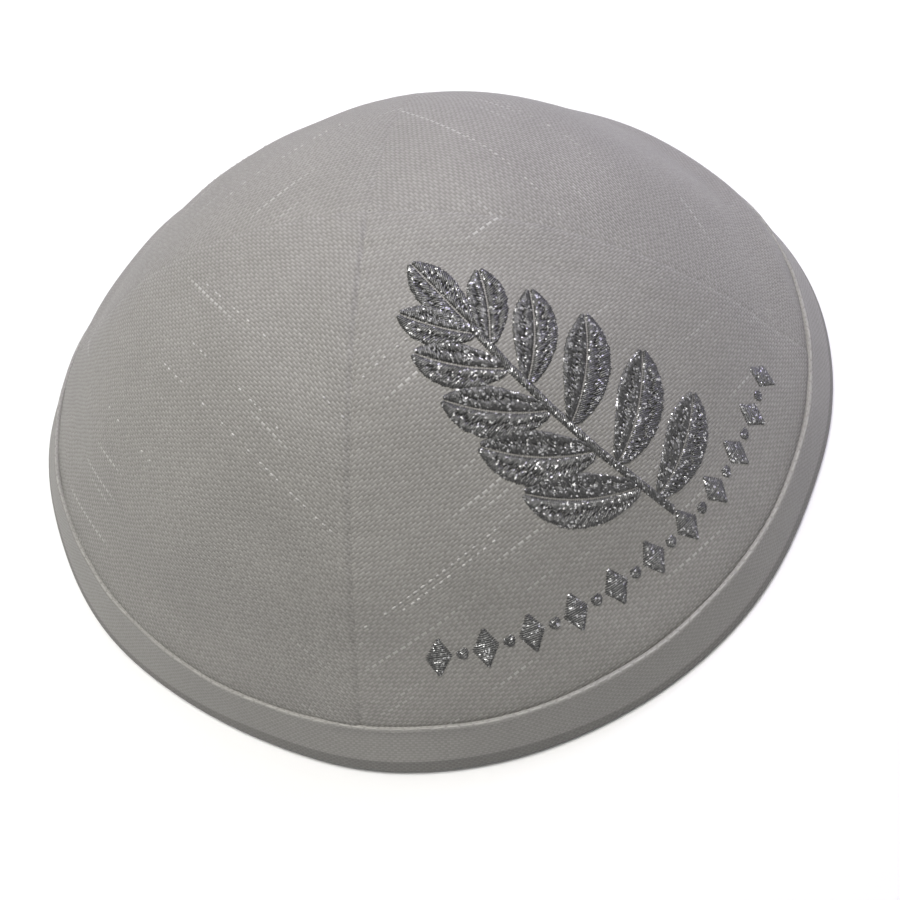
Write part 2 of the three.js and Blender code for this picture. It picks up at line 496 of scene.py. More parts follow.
def pressed(angle):
    fade_from, fade_to = PRESS_FADE
    facing = np.cos(angle - math.radians(PRESS_MIDDLE))
    return smooth_step((facing - fade_from) / (fade_to - fade_from))


def flatten_crease(angle, height):
    above = (face_top_height - height) / (face_top_height - crease_height)
    below = (height - EDGE_UNDER_RADIUS) / (crease_height - EDGE_UNDER_RADIUS)
    near = np.clip(np.minimum(above, below), 0.0, 1.0)
    near[OUTER_POINTS:] = 0.0
    return CREASE_FLATTEN * near * (1 - pressed(angle))


def fold_band():
    angle = np.linspace(0, 2 * math.pi, BAND_STEPS, endpoint=False)[:, None]
    out, height = section.T
    reach = fold_reach(angle) * (1 - upper_share(height))
    points = band_point(angle, out + reach - flatten_crease(angle, height), height)
    count = len(section)
    ring = np.arange(count)
    next_ring = (ring + 1) % count
    start = np.arange(BAND_STEPS)[:, None] * count
    follow = np.roll(start, -1, axis=0)
    faces = np.stack([start + ring, start + next_ring, follow + next_ring, follow + ring], -1)
    flat = np.stack(np.broadcast_arrays(angle * RIM_RADIUS, section_lengths), -1)
    piece = make_mesh("rim_band_cloth", points.reshape(-1, 3), faces.reshape(-1, 4), flat.reshape(-1, 2))
    # The last faces close the ring, so their far corners take the strip's whole length.
    corners = piece.data.uv_layers["pattern"].data
    for corner in range(4 * count * (BAND_STEPS - 1), 4 * count * BAND_STEPS):
        if corner % 4 > 1:
            corners[corner].uv.x = RIM_LENGTH
    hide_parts("rim_band")
    return piece


band_piece = fold_band()
print("band faces:", len(band_piece.data.polygons))

# %% [markdown]
# Threads. A stitch is a short piece of thread that comes out of the cloth, lies on it and goes back in.
# Seen close, a row of stitches is a row of small rounded bridges. Each is made here as a six-sided tube
# that is thin where it enters the cloth and full in the middle. One function makes a whole field of them
# as one mesh, because thousands of separate objects would be slow. Each stitch carries a random number
# as an attribute, and the material uses it to vary the thread.

# %% Make a field of stitches
STITCH_STATIONS = 6
STITCH_SIDES = 6
STITCH_FACES = STITCH_SIDES * (STITCH_STATIONS - 1) + 2
BRIDGE_SPAN = (0.02, 0.98)
THREAD_SUNK = 0.3
THREAD_END = 0.45
THREAD_FLATTENED = 0.8


def lay_stitches(name, starts, ends, place, thread, height):
    """Tubes from starts to ends on the flat pattern; place lifts a pattern point off the cloth."""
    starts, ends = np.asarray(starts, float), np.asarray(ends, float)
    t = np.linspace(0, 1, STITCH_STATIONS)
    flat = starts[:, None] + (ends - starts)[:, None] * t[None, :, None]
    bridge = np.sqrt(np.sin(math.pi * np.clip(t, *BRIDGE_SPAN)))
    center, normal = place(flat, height * bridge[None, :] - THREAD_SUNK * thread)
    forward = np.gradient(center, axis=1)
    forward /= np.linalg.norm(forward, axis=-1, keepdims=True)
    side = np.cross(forward, normal)
    side /= np.linalg.norm(side, axis=-1, keepdims=True)
    over = THREAD_FLATTENED * np.cross(side, forward)
    turn = np.linspace(0, 2 * math.pi, STITCH_SIDES, endpoint=False) + math.pi / STITCH_SIDES
    girth = (thread / 2) * (THREAD_END + (1 - THREAD_END) * bridge)[None, :, None, None]
    ring = np.cos(turn)[:, None] * side[:, :, None] + np.sin(turn)[:, None] * over[:, :, None]
    points = center[:, :, None] + girth * ring
    count = len(starts)
    index = np.arange(points.size // 3).reshape(count, STITCH_STATIONS, STITCH_SIDES)
    around = np.roll(index, -1, axis=2)
    quads = np.stack([index[:, :-1], index[:, 1:], around[:, 1:], around[:, :-1]], -1).reshape(-1, 4)
    caps = np.concatenate([index[:, 0], index[:, -1, ::-1]])
    piece = make_mesh(name, points.reshape(-1, 3), quads.tolist() + caps.tolist())
    tone = np.repeat(noise.uniform(0, 1, count), STITCH_STATIONS * STITCH_SIDES)
    piece.data.attributes.new("thread_tone", "FLOAT", "POINT").data.foreach_set("value", tone)
    return piece


print("faces in one stitch:", STITCH_FACES)

# %% [markdown]
# The edge stitching. The band is sewn down along its upper edge, with thread of the cloth's own colour.
# The stitches lie in the soft roll of that edge and give it its faint beading. They follow the same
# waver as the band, because the needle went through it. A bump could hint at them, but the roll is seen
# edge on at the sides, where only real stitches break its line.

# %% Stitch the band's upper edge
EDGE_STITCH = 2.5
EDGE_STITCH_GAP = 0.05
EDGE_STITCH_TURN = 48.0
EDGE_STITCH_HEIGHT = 0.06
EDGE_THREAD = 0.42
EDGE_IN = 6
edge_count = int(2 * math.pi * (RIM_RADIUS - EDGE_IN) / EDGE_STITCH)
edge_way = (math.cos(math.radians(EDGE_STITCH_TURN)), math.sin(math.radians(EDGE_STITCH_TURN)))
edge_normal = wall_to_upright([edge_way])[0]
edge_line = wall_to_upright([(
    SLOT_OUT + ROLL_RADIUS * (1 + edge_way[0]), BAND_WIDTH - ROLL_RADIUS * (1 - edge_way[1]),
)])[0]


def on_band_edge(flat, lift):
    angle = flat[..., 0]
    out, up = edge_normal
    normal = np.stack([out * np.cos(angle), out * np.sin(angle), np.full_like(angle, up)], -1)
    return band_point(angle, edge_line[0] + out * lift, edge_line[1] + up * lift), normal


edge_turn = 2 * math.pi / edge_count
edge_starts = np.stack([np.arange(edge_count) * edge_turn, np.zeros(edge_count)], -1)
edge_ends = edge_starts + (edge_turn * (1 - EDGE_STITCH_GAP / EDGE_STITCH), 0.0)
edge_stitches = lay_stitches(
    "band_edge_stitches", edge_starts, edge_ends, on_band_edge, EDGE_THREAD, EDGE_STITCH_HEIGHT
)
print("edge stitches:", edge_count)

# %% [markdown]
# The slubs. A slub is a soft thick stretch in a weft thread. It shows as a row of swollen floats, one
# wherever that thread passes over the warp, so each row is laid with the stitch function: one short
# tube for each float, a little uneven in place and size. The long rows in front lie where the
# photograph shows them, and the rest are spread in the same way. The faintest slubs are left to the
# material, which could have drawn these too, but flat ones wouldn't catch the light.

# %% Lay the slub rows
WARP_PITCH = 0.77
SLUB_THREAD = 0.47
SLUB_HEIGHT = 0.1
SLUB_FLOAT = 0.8
SLUB_LENGTHS = (0.6, 1.15)
SLUB_SHIFT = 0.2
SLUB_TURN_LIMIT = 43.5
# Rows for each panel: place along it, start and end across it, and share of the floats left out
SLUB_TABLE = {
    "panel_back_right": [(26.0, -27.0, 4.0, 0.35), (44.0, -12.0, 16.0, 0.5)],
    "panel_back_left": [(33.0, -14.0, 15.0, 0.5), (58.0, -6.0, 24.0, 0.5)],
    "panel_front_left": [
        (46.0, -14.0, 37.0, 0.35), (39.0, -9.0, 18.0, 0.55),
        (29.0, -15.0, 26.0, 0.5), (63.0, -24.0, -2.0, 0.6),
    ],
    "panel_front_right": [
        (24.3, -21.0, -6.5, 0.2), (59.5, -47.0, -18.6, 0.15), (60.9, -39.3, -18.5, 0.2),
    ],
}


def on_panel(panel):
    def place(flat, lift):
        turn, down = dome_from_flat(flat)
        angle = math.radians(panel["seam"]) + QUARTER_TURN / 2 + turn
        return panel_outside(panel, angle, down, lift), dome_normal(angle, down)
    return place


def lay_slubs(panel):
    starts = []
    for along, start, end, left_out in SLUB_TABLE[panel["name"]]:
        across = np.arange(start, end, 2 * WARP_PITCH)
        across = across + noise.uniform(-SLUB_SHIFT, SLUB_SHIFT, len(across))
        places = np.stack([across, np.full_like(across, along)], -1)
        on_cloth = np.abs(dome_from_flat(places)[0]) < math.radians(SLUB_TURN_LIMIT)
        starts.append(places[on_cloth & (noise.uniform(0, 1, len(across)) > left_out)])
    starts = np.concatenate(starts)
    lengths = SLUB_FLOAT * noise.uniform(*SLUB_LENGTHS, len(starts))
    ends = starts + np.stack([lengths, np.zeros_like(lengths)], -1)
    return lay_stitches(panel["name"] + "_slubs", starts, ends, on_panel(panel), SLUB_THREAD, SLUB_HEIGHT)


slub_pieces = {panel["name"]: lay_slubs(panel) for panel in PANELS}
print("slub floats:", {name: len(p.data.polygons) // STITCH_FACES for name, p in slub_pieces.items()})

# %% [markdown]
# The embroidery. The front right panel carries machine embroidery in silver thread. Here it is a leafy
# sprig, and a row of small lozenges with dots between them along the hem. Machine embroidery fills a
# shape with close parallel stitches: a leaf gets two fields that slant from its midrib to its edge, a
# stem gets short slanted ones, and a dot and a lozenge get straight ones across. A long stitch is split
# into shorter ones, with the breaks staggered, so the thread doesn't snag. The drawing is on the flat
# pattern, and the dome carries it. A picture on the material would be simpler, but it would lie flat
# and wouldn't glint.

# %% Fill shapes with stitches
THREAD_PITCH = 0.40
LONGEST_STITCH = 3.0
SHORTEST_STITCH = 0.5
BREAK_STAGGER = 0.6
LEAF_SLANT = 38.0
LEAF_BEND_FROM = 0.3
LEAF_BASE = 0.06
LEAF_BELLY = 0.78
LEAF_ROUND = 0.85
LEAF_RAGGED = 0.03
RIB_GAP = 0.14
STEM_SLANT = 0.7
stitch_starts = []
stitch_ends = []


def add_stitch(start, end, longest=LONGEST_STITCH):
    start, end = np.asarray(start, float), np.asarray(end, float)
    length = np.linalg.norm(end - start)
    if length < SHORTEST_STITCH:
        return
    pieces = int(math.ceil(length / longest))
    breaks = np.arange(1, pieces) / pieces + noise.uniform(-0.5, 0.5) * BREAK_STAGGER / pieces
    marks = np.concatenate([[0.0], breaks, [1.0]])
    for first, last in zip(marks[:-1], marks[1:]):
        stitch_starts.append(start + (end - start) * first)
        stitch_ends.append(start + (end - start) * last)


def heading(degrees):
    return np.array([math.sin(math.radians(degrees)), -math.cos(math.radians(degrees))])


def fill_leaf(base, degrees, length, width, bend):
    """A leaf from its base, headed from the crown's direction, whose midrib bends as it goes."""
    steps = int(length / THREAD_PITCH)
    rib = np.array(base, float)
    for step in range(steps):
        t = step / steps
        way = degrees + bend * (t - LEAF_BEND_FROM)
        rib = rib + heading(way) * THREAD_PITCH
        swell = min(1.0, LEAF_BASE + (1 - LEAF_BASE) * t) ** LEAF_BELLY
        half = width / 2 * math.sin(math.pi * swell) ** LEAF_ROUND
        for side in (-1, 1):
            start = rib + heading(way + side * 90) * RIB_GAP
            reach = half / math.cos(math.radians(LEAF_SLANT))
            reach = reach * (1 + noise.uniform(-LEAF_RAGGED, LEAF_RAGGED))
            add_stitch(start, start + heading(way + side * (90 - LEAF_SLANT)) * reach)


def fill_stem(points, width):
    points = np.asarray(points, float)
    lengths = np.concatenate([[0], np.cumsum(np.linalg.norm(np.diff(points, axis=0), axis=1))])
    places = np.arange(0, lengths[-1], THREAD_PITCH)
    path = np.stack([np.interp(places, lengths, points[:, k]) for k in (0, 1)], -1)
    ways = np.gradient(path, axis=0)
    for place, way in zip(path, ways / np.linalg.norm(ways, axis=1, keepdims=True)):
        slanted = np.array([-way[1], way[0]]) + STEM_SLANT * way
        add_stitch(place - slanted * width / 2, place + slanted * width / 2)


def fill_round(center, half_width, half_height, level, pointed):
    """A lozenge or a dot, whose stitches run whole from side to side."""
    across, along = heading(level + 90), heading(level)
    for up in np.arange(-half_height + THREAD_PITCH / 2, half_height, THREAD_PITCH):
        share = abs(up) / half_height
        half = half_width * (1 - share if pointed else math.sqrt(1 - share**2))
        middle = np.asarray(center) + along * up
        add_stitch(middle - across * half, middle + across * half, 2 * half_width + 1.0)


print("thread pitch, mm:", THREAD_PITCH)

# %% Draw the sprig and the row of lozenges
STEM_WIDTH = 1.5
STEM_TABLE = [(8.8, 77.5), (6.5, 71.0), (3.0, 60.0), (0.5, 49.0), (-1.0, 39.0), (-1.5, 30.0)]
# Each leaf: its base, heading in degrees, length, width and bend in degrees
LEAF_TABLE = [
    ((7.4, 73.5), 66.0, 20.5, 9.2, -36.0),
    ((6.2, 70.0), -62.0, 22.0, 9.4, 36.0),
    ((4.4, 64.0), 58.0, 21.5, 9.2, -34.0),
    ((3.0, 60.0), -56.0, 21.5, 9.2, 34.0),
    ((1.6, 53.5), 52.0, 20.0, 8.6, -32.0),
    ((0.6, 49.5), -52.0, 19.5, 8.4, 32.0),
    ((-0.4, 43.5), 46.0, 17.5, 7.6, -28.0),
    ((-1.0, 39.5), -46.0, 17.0, 7.4, 28.0),
    ((-1.4, 34.5), 36.0, 14.5, 6.6, -22.0),
    ((-1.5, 31.5), -38.0, 14.0, 6.4, 22.0),
    ((-1.5, 30.0), -2.0, 16.0, 7.0, 4.0),
]
LOZENGE_DOWN = 0.825
LOZENGE_TURNS = np.linspace(-33.0, 35.0, 11)
LOZENGE_HALF = (2.5, 4.0)
DOT_RADIUS = 1.1
EMBROIDERY_THREAD = 0.46
EMBROIDERY_HEIGHT = 0.26


def along_hem(turn):
    return flat_from_dome(np.array(math.radians(turn)), np.array(LOZENGE_DOWN))


fill_stem(STEM_TABLE, STEM_WIDTH)
for leaf in LEAF_TABLE:
    fill_leaf(*leaf)
for turn in LOZENGE_TURNS:
    middle = along_hem(turn)
    fill_round(middle, *LOZENGE_HALF, math.degrees(math.atan2(-middle[0], middle[1])), True)
for turn in LOZENGE_TURNS[:-1] + (LOZENGE_TURNS[1] - LOZENGE_TURNS[0]) / 2:
    fill_round(along_hem(turn), DOT_RADIUS, DOT_RADIUS, 0.0, False)

front_right = PANELS[3]
embroidery = lay_stitches(
    "silver_embroidery", stitch_starts, stitch_ends,
    on_panel(front_right), EMBROIDERY_THREAD, EMBROIDERY_HEIGHT,
)
print("embroidery stitches:", len(stitch_starts), "faces:", len(embroidery.data.polygons))

# %% [markdown]
# The weave. The cloth is a plain weave of a slubby yarn: the weft passes over one warp thread and under
# the next, and the next weft does the opposite. At this size that is a fine brick pattern of small
# raised floats. Some weft threads have thick soft stretches, the slubs, whose floats stand out as rows
# of pale dots. Two sine waves with the pitch of warp and weft give the brick pattern, and their
# absolute values give the round backs of the threads. It is a node group, because the panels and the
# band both use it with their own values. The helpers come first: each makes one kind of node, and sets
# or links its inputs.

# %% Small helpers for shader nodes
# The places of the two colours and of the result among the sockets of a Mix node
MIX_FIRST = 6
MIX_SECOND = 7
MIX_RESULT = 2


def set_inputs(tree, node, inputs):
    """Set or link each input, which is given by its label or its number."""
    for label, value in dict(inputs).items():
        if isinstance(value, bpy.types.NodeSocket):
            tree.links.new(value, node.inputs[label])
        else:
            node.inputs[label].default_value = value


def add_node(tree, kind, inputs=(), **settings):
    node = tree.nodes.new("ShaderNode" + kind)
    for label, value in settings.items():
        setattr(node, label, value)
    set_inputs(tree, node, inputs)
    return node


def math_node(tree, operation, *values, clamp=False):
    return add_node(tree, "Math", enumerate(values), operation=operation, use_clamp=clamp).outputs[0]


def vector_node(tree, operation, *values):
    return add_node(tree, "VectorMath", enumerate(values), operation=operation).outputs["Vector"]


def length_node(tree, vector):
    return add_node(tree, "VectorMath", {0: vector}, operation="LENGTH").outputs["Value"]


def split_node(tree, vector):
    return add_node(tree, "SeparateXYZ", {0: vector}).outputs


def combine_node(tree, x, y, z=0.0):
    return add_node(tree, "CombineXYZ", enumerate((x, y, z))).outputs[0]


def noise_node(tree, vector, scale, detail=2.0, roughness=0.5, dimensions="3D"):
    inputs = {"Vector": vector, "Scale": scale, "Detail": detail, "Roughness": roughness}
    return add_node(tree, "TexNoise", inputs, noise_dimensions=dimensions).outputs["Fac"]


def white_node(tree, x, y):
    inputs = {"Vector": combine_node(tree, x, y)}
    return add_node(tree, "TexWhiteNoise", inputs, noise_dimensions="2D").outputs["Value"]


def ramp_node(tree, value, low, high):
    inputs = {"Value": value, "From Min": low, "From Max": high}
    return add_node(tree, "MapRange", inputs, interpolation_type="SMOOTHSTEP").outputs["Result"]


def mix_color(tree, factor, first, second, blend="MIX"):
    inputs = {"Factor": factor, MIX_FIRST: first, MIX_SECOND: second}
    return add_node(tree, "Mix", inputs, data_type="RGBA", blend_type=blend).outputs[MIX_RESULT]


def bump_node(tree, height, strength, distance):
    inputs = {"Height": height, "Strength": strength, "Distance": distance}
    return add_node(tree, "Bump", inputs).outputs["Normal"]


def object_place(tree):
    return add_node(tree, "TexCoord").outputs["Object"]


def new_group(name, vectors, numbers, outputs):
    """A group with vector inputs, number inputs with their first values, and number outputs."""
    group = bpy.data.node_groups.new(name, "ShaderNodeTree")
    for label in vectors:
        group.interface.new_socket(name=label, in_out="INPUT", socket_type="NodeSocketVector")
    for label, value in numbers.items():
        socket = group.interface.new_socket(name=label, in_out="INPUT", socket_type="NodeSocketFloat")
        socket.default_value = value
    for label in outputs:
        group.interface.new_socket(name=label, in_out="OUTPUT", socket_type="NodeSocketFloat")
    return group, group.nodes.new("NodeGroupInput").outputs, group.nodes.new("NodeGroupOutput")


print("node helpers ready")

# %% Node group: plain weave
WEFT_PITCH = 0.55
YARN_DRIFT = 0.9
YARN_DRIFT_SCALE = 0.11
ROW_SLIP = 0.45
CROSSING_RISE = 0.55
BACK_RISE = 0.6
SLUB_RISE = 0.25
SLUB_STRETCH = 0.03
SLUB_ROW_STEP = 0.731
SLUB_RANGE = 0.4
SLUB_SHARPNESS = 14.0
FLOAT_EDGE = (-0.15, 0.35)
YARN_STRETCH = 0.02
WEFT_TONE_SCALE = 0.83
WARP_TONE_SCALE = 0.77
YARN_ROUGHNESS = 0.6
YARN_TONE = 0.25
GRAIN_TONE = 0.75
GRAIN_POWER = 2.0


def build_weave():
    group, given, result = new_group(
        "plain weave",
        ["Pattern"],
        {"Warp Pitch": WARP_PITCH, "Weft Pitch": WEFT_PITCH, "Slub Share": 0.5, "Seed": 0.0},
        ["Height", "Float", "Tone", "Slub", "Rows"],
    )
    calc = functools.partial(math_node, group)

    def yarn_noise(row, length, scale):
        place = combine_node(group, row, calc("MULTIPLY", length, YARN_STRETCH))
        return noise_node(group, place, scale, detail=1.0, roughness=YARN_ROUGHNESS, dimensions="2D")

    # Warp and weft are counted in threads, and drift a little from their straight lines.
    drift = noise_node(group, given["Pattern"], YARN_DRIFT_SCALE)
    drift = calc("MULTIPLY_ADD", drift, YARN_DRIFT, -YARN_DRIFT / 2)
    split = split_node(group, given["Pattern"])
    across = calc("ADD", split["X"], drift)
    along = calc("ADD", split["Y"], drift)
    weft = calc("DIVIDE", along, given["Weft Pitch"])
    weft_row = calc("FLOOR", weft)
    warp = calc("DIVIDE", across, given["Warp Pitch"])
    warp = calc("MULTIPLY_ADD", white_node(group, weft_row, 0.0), ROW_SLIP, warp)
    warp_row = calc("FLOOR", warp)
    warp_wave = calc("SINE", calc("MULTIPLY", warp, math.pi))
    weft_wave = calc("SINE", calc("MULTIPLY", weft, math.pi))
    crossing = calc("MULTIPLY", warp_wave, weft_wave)
    warp_back = calc("ABSOLUTE", warp_wave)
    weft_back = calc("ABSOLUTE", weft_wave)

    # A slub is where a slow noise along one weft thread rises over a threshold.
    slub_row = calc("MULTIPLY_ADD", weft_row, SLUB_ROW_STEP, given["Seed"])
    slub_place = combine_node(group, calc("MULTIPLY", across, SLUB_STRETCH), slub_row)
    slub_noise = noise_node(group, slub_place, scale=1.0, detail=0.0, dimensions="2D")
    threshold = calc("SUBTRACT", 1.0, calc("MULTIPLY", given["Slub Share"], SLUB_RANGE))
    slub = calc("MULTIPLY", calc("SUBTRACT", slub_noise, threshold), SLUB_SHARPNESS, clamp=True)

    # The higher of the two threads is the one that shows.
    weft_high = calc("MULTIPLY_ADD", crossing, CROSSING_RISE, calc("MULTIPLY", weft_back, BACK_RISE))
    weft_high = calc("MULTIPLY_ADD", slub, SLUB_RISE, weft_high)
    warp_high = calc("MULTIPLY_ADD", crossing, -CROSSING_RISE, calc("MULTIPLY", warp_back, BACK_RISE))
    raised = ramp_node(group, calc("SUBTRACT", weft_high, warp_high), *FLOAT_EDGE)

    # Each thread has its own tone, and each float a grain of its own.
    weft_tone = yarn_noise(weft_row, across, WEFT_TONE_SCALE)
    warp_tone = yarn_noise(warp_row, along, WARP_TONE_SCALE)
    grain = calc("POWER", white_node(group, warp_row, weft_row), GRAIN_POWER)
    tone = calc("MULTIPLY", calc("ADD", weft_tone, warp_tone), YARN_TONE)
    set_inputs(group, result, {
        "Height": calc("MAXIMUM", weft_high, warp_high),
        "Float": raised,
        "Tone": calc("MULTIPLY_ADD", grain, GRAIN_TONE, tone),
        "Slub": slub,
        "Rows": weft_back,
    })
    return group


weave_group = build_weave()
print("weave nodes:", len(weave_group.nodes))

# %% [markdown]
# Painted edge shade. Near its edges the cloth falls into shade, and that shade is painted into its colour
# here, on a band as much as on a panel: below the band's crease, where the fold turns under, and on a panel
# next to the band. It could be drawn on an image, but then it wouldn't follow the fold. Here it is a
# second node group: it takes a distance over the cloth and puts out a painted shade that drops past an
# edge.

# %% Node group: painted edge shade
def build_painted_edge_shade():
    group, given, result = new_group(
        "painted edge shade", [], {"Distance": 0.0, "Edge": 0.0, "Reach": 1.0, "Depth": 0.2}, ["Shade"]
    )
    calc = functools.partial(math_node, group)
    # Past the edge the colour is darkened by Depth: painted shade.
    short = calc("SUBTRACT", given["Edge"], given["Distance"])
    near = ramp_node(group, calc("DIVIDE", short, given["Reach"]), 1.0, 0.0)
    loss = calc("MULTIPLY", near, given["Depth"])
    set_inputs(group, result, {"Shade": calc("SUBTRACT", 1.0, loss)})
    return group


painted_shade_group = build_painted_edge_shade()
print("painted edge shade nodes:", len(painted_shade_group.nodes))

# %% [markdown]
# The finish of the cloth. It is an undyed silvery linen look: a pale warm grey, matt, with a slight
# glint on the backs of the threads. The floats and the round backs of the weft threads are painted lighter,
# as painted highlight, and between the floats the cloth is painted darker, as painted shade. Each thread
# has its own tone, slow patches come from pressing and handling, and the slubs are paler. The weave's
# height drives a bump, because a thread is a fraction of a millimetre and too fine for the mesh. A colour
# with noise over it would be quicker, but close up it looks like stone and not like cloth.

# %% A cloth material
TONE_SHARE = 0.75
ROWS_SHARE = 0.45
BODY_SHARE = 0.5
BODY_DROP = 0.15
PATCH_SCALE = 45.0
PATCH_DETAIL = 3.0
PATCH_ROUGHNESS = 0.55
PATCH_SHADE = 0.22
FLOAT_GLOSS = 0.16
PATCH_DULLNESS = 0.08
WEAVE_DEPTH = 0.22 * MM
CLOTH_SHEEN = {"Specular IOR Level": 0.4, "Sheen Weight": 0.12, "Sheen Roughness": 0.45}
SLUB_PALE = (0.60, 0.59, 0.57, 1.0)


def principled(name):
    material = bpy.data.materials.new(name)
    material.use_nodes = True
    tree = material.node_tree
    return material, tree, tree.nodes["Principled BSDF"]


def cloth_material(name, dark, light, values):
    material, tree, shader = principled(name)
    calc = functools.partial(math_node, tree)
    pattern = add_node(tree, "UVMap", uv_map="pattern").outputs[0]
    weave = add_node(tree, "Group", values["weave"], node_tree=weave_group)
    set_inputs(tree, weave, {"Pattern": pattern})
    thread = weave.outputs
    # The painted edge shade darkens the colour along an edge, where the cloth falls into shade.
    painted_shade = add_node(tree, "Group", values["painted_shade"](tree, pattern), node_tree=painted_shade_group)
    patches = noise_node(tree, object_place(tree), PATCH_SCALE, PATCH_DETAIL, PATCH_ROUGHNESS)
    # Painted highlight and shade: floats and the round backs of the weft are lighter, the gaps darker,
    # mixed with each thread's own tone.
    body = calc("MULTIPLY_ADD", thread["Tone"], TONE_SHARE, thread["Float"])
    body = calc("MULTIPLY_ADD", thread["Rows"], ROWS_SHARE, body)
    body = calc("MULTIPLY_ADD", body, BODY_SHARE, -BODY_DROP, clamp=True)
    shade = calc("MULTIPLY_ADD", patches, PATCH_SHADE, 1 - PATCH_SHADE / 2)
    shade = calc("MULTIPLY", shade, painted_shade.outputs["Shade"])
    shade = combine_node(tree, shade, shade, shade)
    color = mix_color(tree, 1.0, mix_color(tree, body, dark, light), shade, "MULTIPLY")
    slub = calc("MULTIPLY", calc("MULTIPLY", thread["Slub"], thread["Float"]), values["slub"])
    rough = calc("MULTIPLY_ADD", thread["Float"], -FLOAT_GLOSS, values["roughness"])
    set_inputs(tree, shader, CLOTH_SHEEN)
    set_inputs(tree, shader, {
        "Base Color": mix_color(tree, slub, color, SLUB_PALE),
        "Roughness": calc("MULTIPLY_ADD", patches, PATCH_DULLNESS, rough),
        "Normal": bump_node(tree, thread["Height"], values["bump"], WEAVE_DEPTH),
    })
    return material


print("weave bump, mm:", round(WEAVE_DEPTH / MM, 2))

# %% Finish the panels and the band
CLOTH_DARK = (0.236, 0.228, 0.212, 1.0)
CLOTH_LIGHT = (0.36, 0.351, 0.328, 1.0)
BAND_DARK = (0.255, 0.248, 0.232, 1.0)
BAND_LIGHT = (0.335, 0.327, 0.308, 1.0)
SLUB_SHARES = (0.5, 0.5, 0.44, 0.5)
PANEL_SEED = 31.7
STRIP_LOWER = 1.3
STRIP_BELOW_CREASE = 0.2
crease_length = float(section_lengths[ROLL_POINTS + FACE_POINTS])


def panel_hem_painted_shade(tree, pattern):
    """Painted shade: the panel is a little darker near the band, at the far end of its pattern from the
    crown.
    """
    return {"Distance": length_node(tree, pattern), "Edge": hem_length, "Reach": 6.0, "Depth": 0.03}


def band_strip_painted_shade(tree, pattern):
    """Painted shade: the band is darker below its crease in front, and from lower down at the sides."""
    calc = functools.partial(math_node, tree)
    split = split_node(tree, pattern)
    turn = calc("DIVIDE", split["X"], RIM_RADIUS)
    facing = calc("COSINE", calc("SUBTRACT", turn, math.radians(PRESS_MIDDLE)))
    front = ramp_node(tree, facing, *PRESS_FADE)
    # Where the painted shade starts along the band's section: at the crease in front, lower at the sides.
    lowest = crease_length + STRIP_BELOW_CREASE + STRIP_LOWER
    edge = calc("MULTIPLY_ADD", front, -STRIP_LOWER, lowest)
    return {"Distance": split["Y"], "Edge": edge, "Reach": 0.5, "Depth": 0.34}


for number, (name, piece) in enumerate(panel_pieces.items()):
    panel_values = dict(
        weave={"Slub Share": SLUB_SHARES[number], "Seed": PANEL_SEED * number},
        painted_shade=panel_hem_painted_shade, slub=0.5, roughness=0.72, bump=0.4,
    )
    piece.data.materials.append(cloth_material(name + "_weave", CLOTH_DARK, CLOTH_LIGHT, panel_values))
band_values = dict(
    weave={"Warp Pitch": 0.6, "Weft Pitch": 0.5, "Slub Share": 0.3, "Seed": 5.0},
    painted_shade=band_strip_painted_shade, slub=0.2, roughness=0.76, bump=0.18,
)
band_piece.data.materials.append(cloth_material("band_weave", BAND_DARK, BAND_LIGHT, band_values))
print("cloth materials:", [m.name for m in bpy.data.materials if m.name.endswith("weave")])

# %% [markdown]
# The threads' finish. The silver thread is a narrow metallic foil wound round a core. Most of it looks a
# dull dark grey, and a few small cells of the foil are painted near white, as painted glints, and made
# glossier, so it sparkles rather than shines. A cell texture picks those cells and leans the normal of
# each cell its own way. A plain metal would shine all over alike. The sewing thread and the slubs are
# plain yarn, a little paler than the cloth.

# %% Thread materials
FOIL_DARK = (0.12, 0.12, 0.117, 1.0)
FOIL_LIGHT = (0.24, 0.24, 0.234, 1.0)
FOIL_PAINTED_GLINT = (0.92, 0.92, 0.91, 1.0)
FOIL_CELLS = 3200.0
FOIL_PAINTED_GLINT_EDGE = (0.89, 0.92)
FOIL_LEAN = 0.55
FOIL_METAL = 0.6
FOIL_ROUGHNESS = 0.45
GLINT_GLOSS = 0.25
SEWING_DARK = (0.31, 0.302, 0.284, 1.0)
SLUB_DARK = (0.42, 0.41, 0.392, 1.0)
YARN_PALER = 1.25
YARN_TWIST_SCALE = 2500.0
YARN_TWIST_DEPTH = 0.1 * MM
YARN_BUMP = 0.4
YARN_MATT = 0.6


def tone_of_thread(tree):
    return add_node(tree, "Attribute", attribute_name="thread_tone").outputs["Fac"]


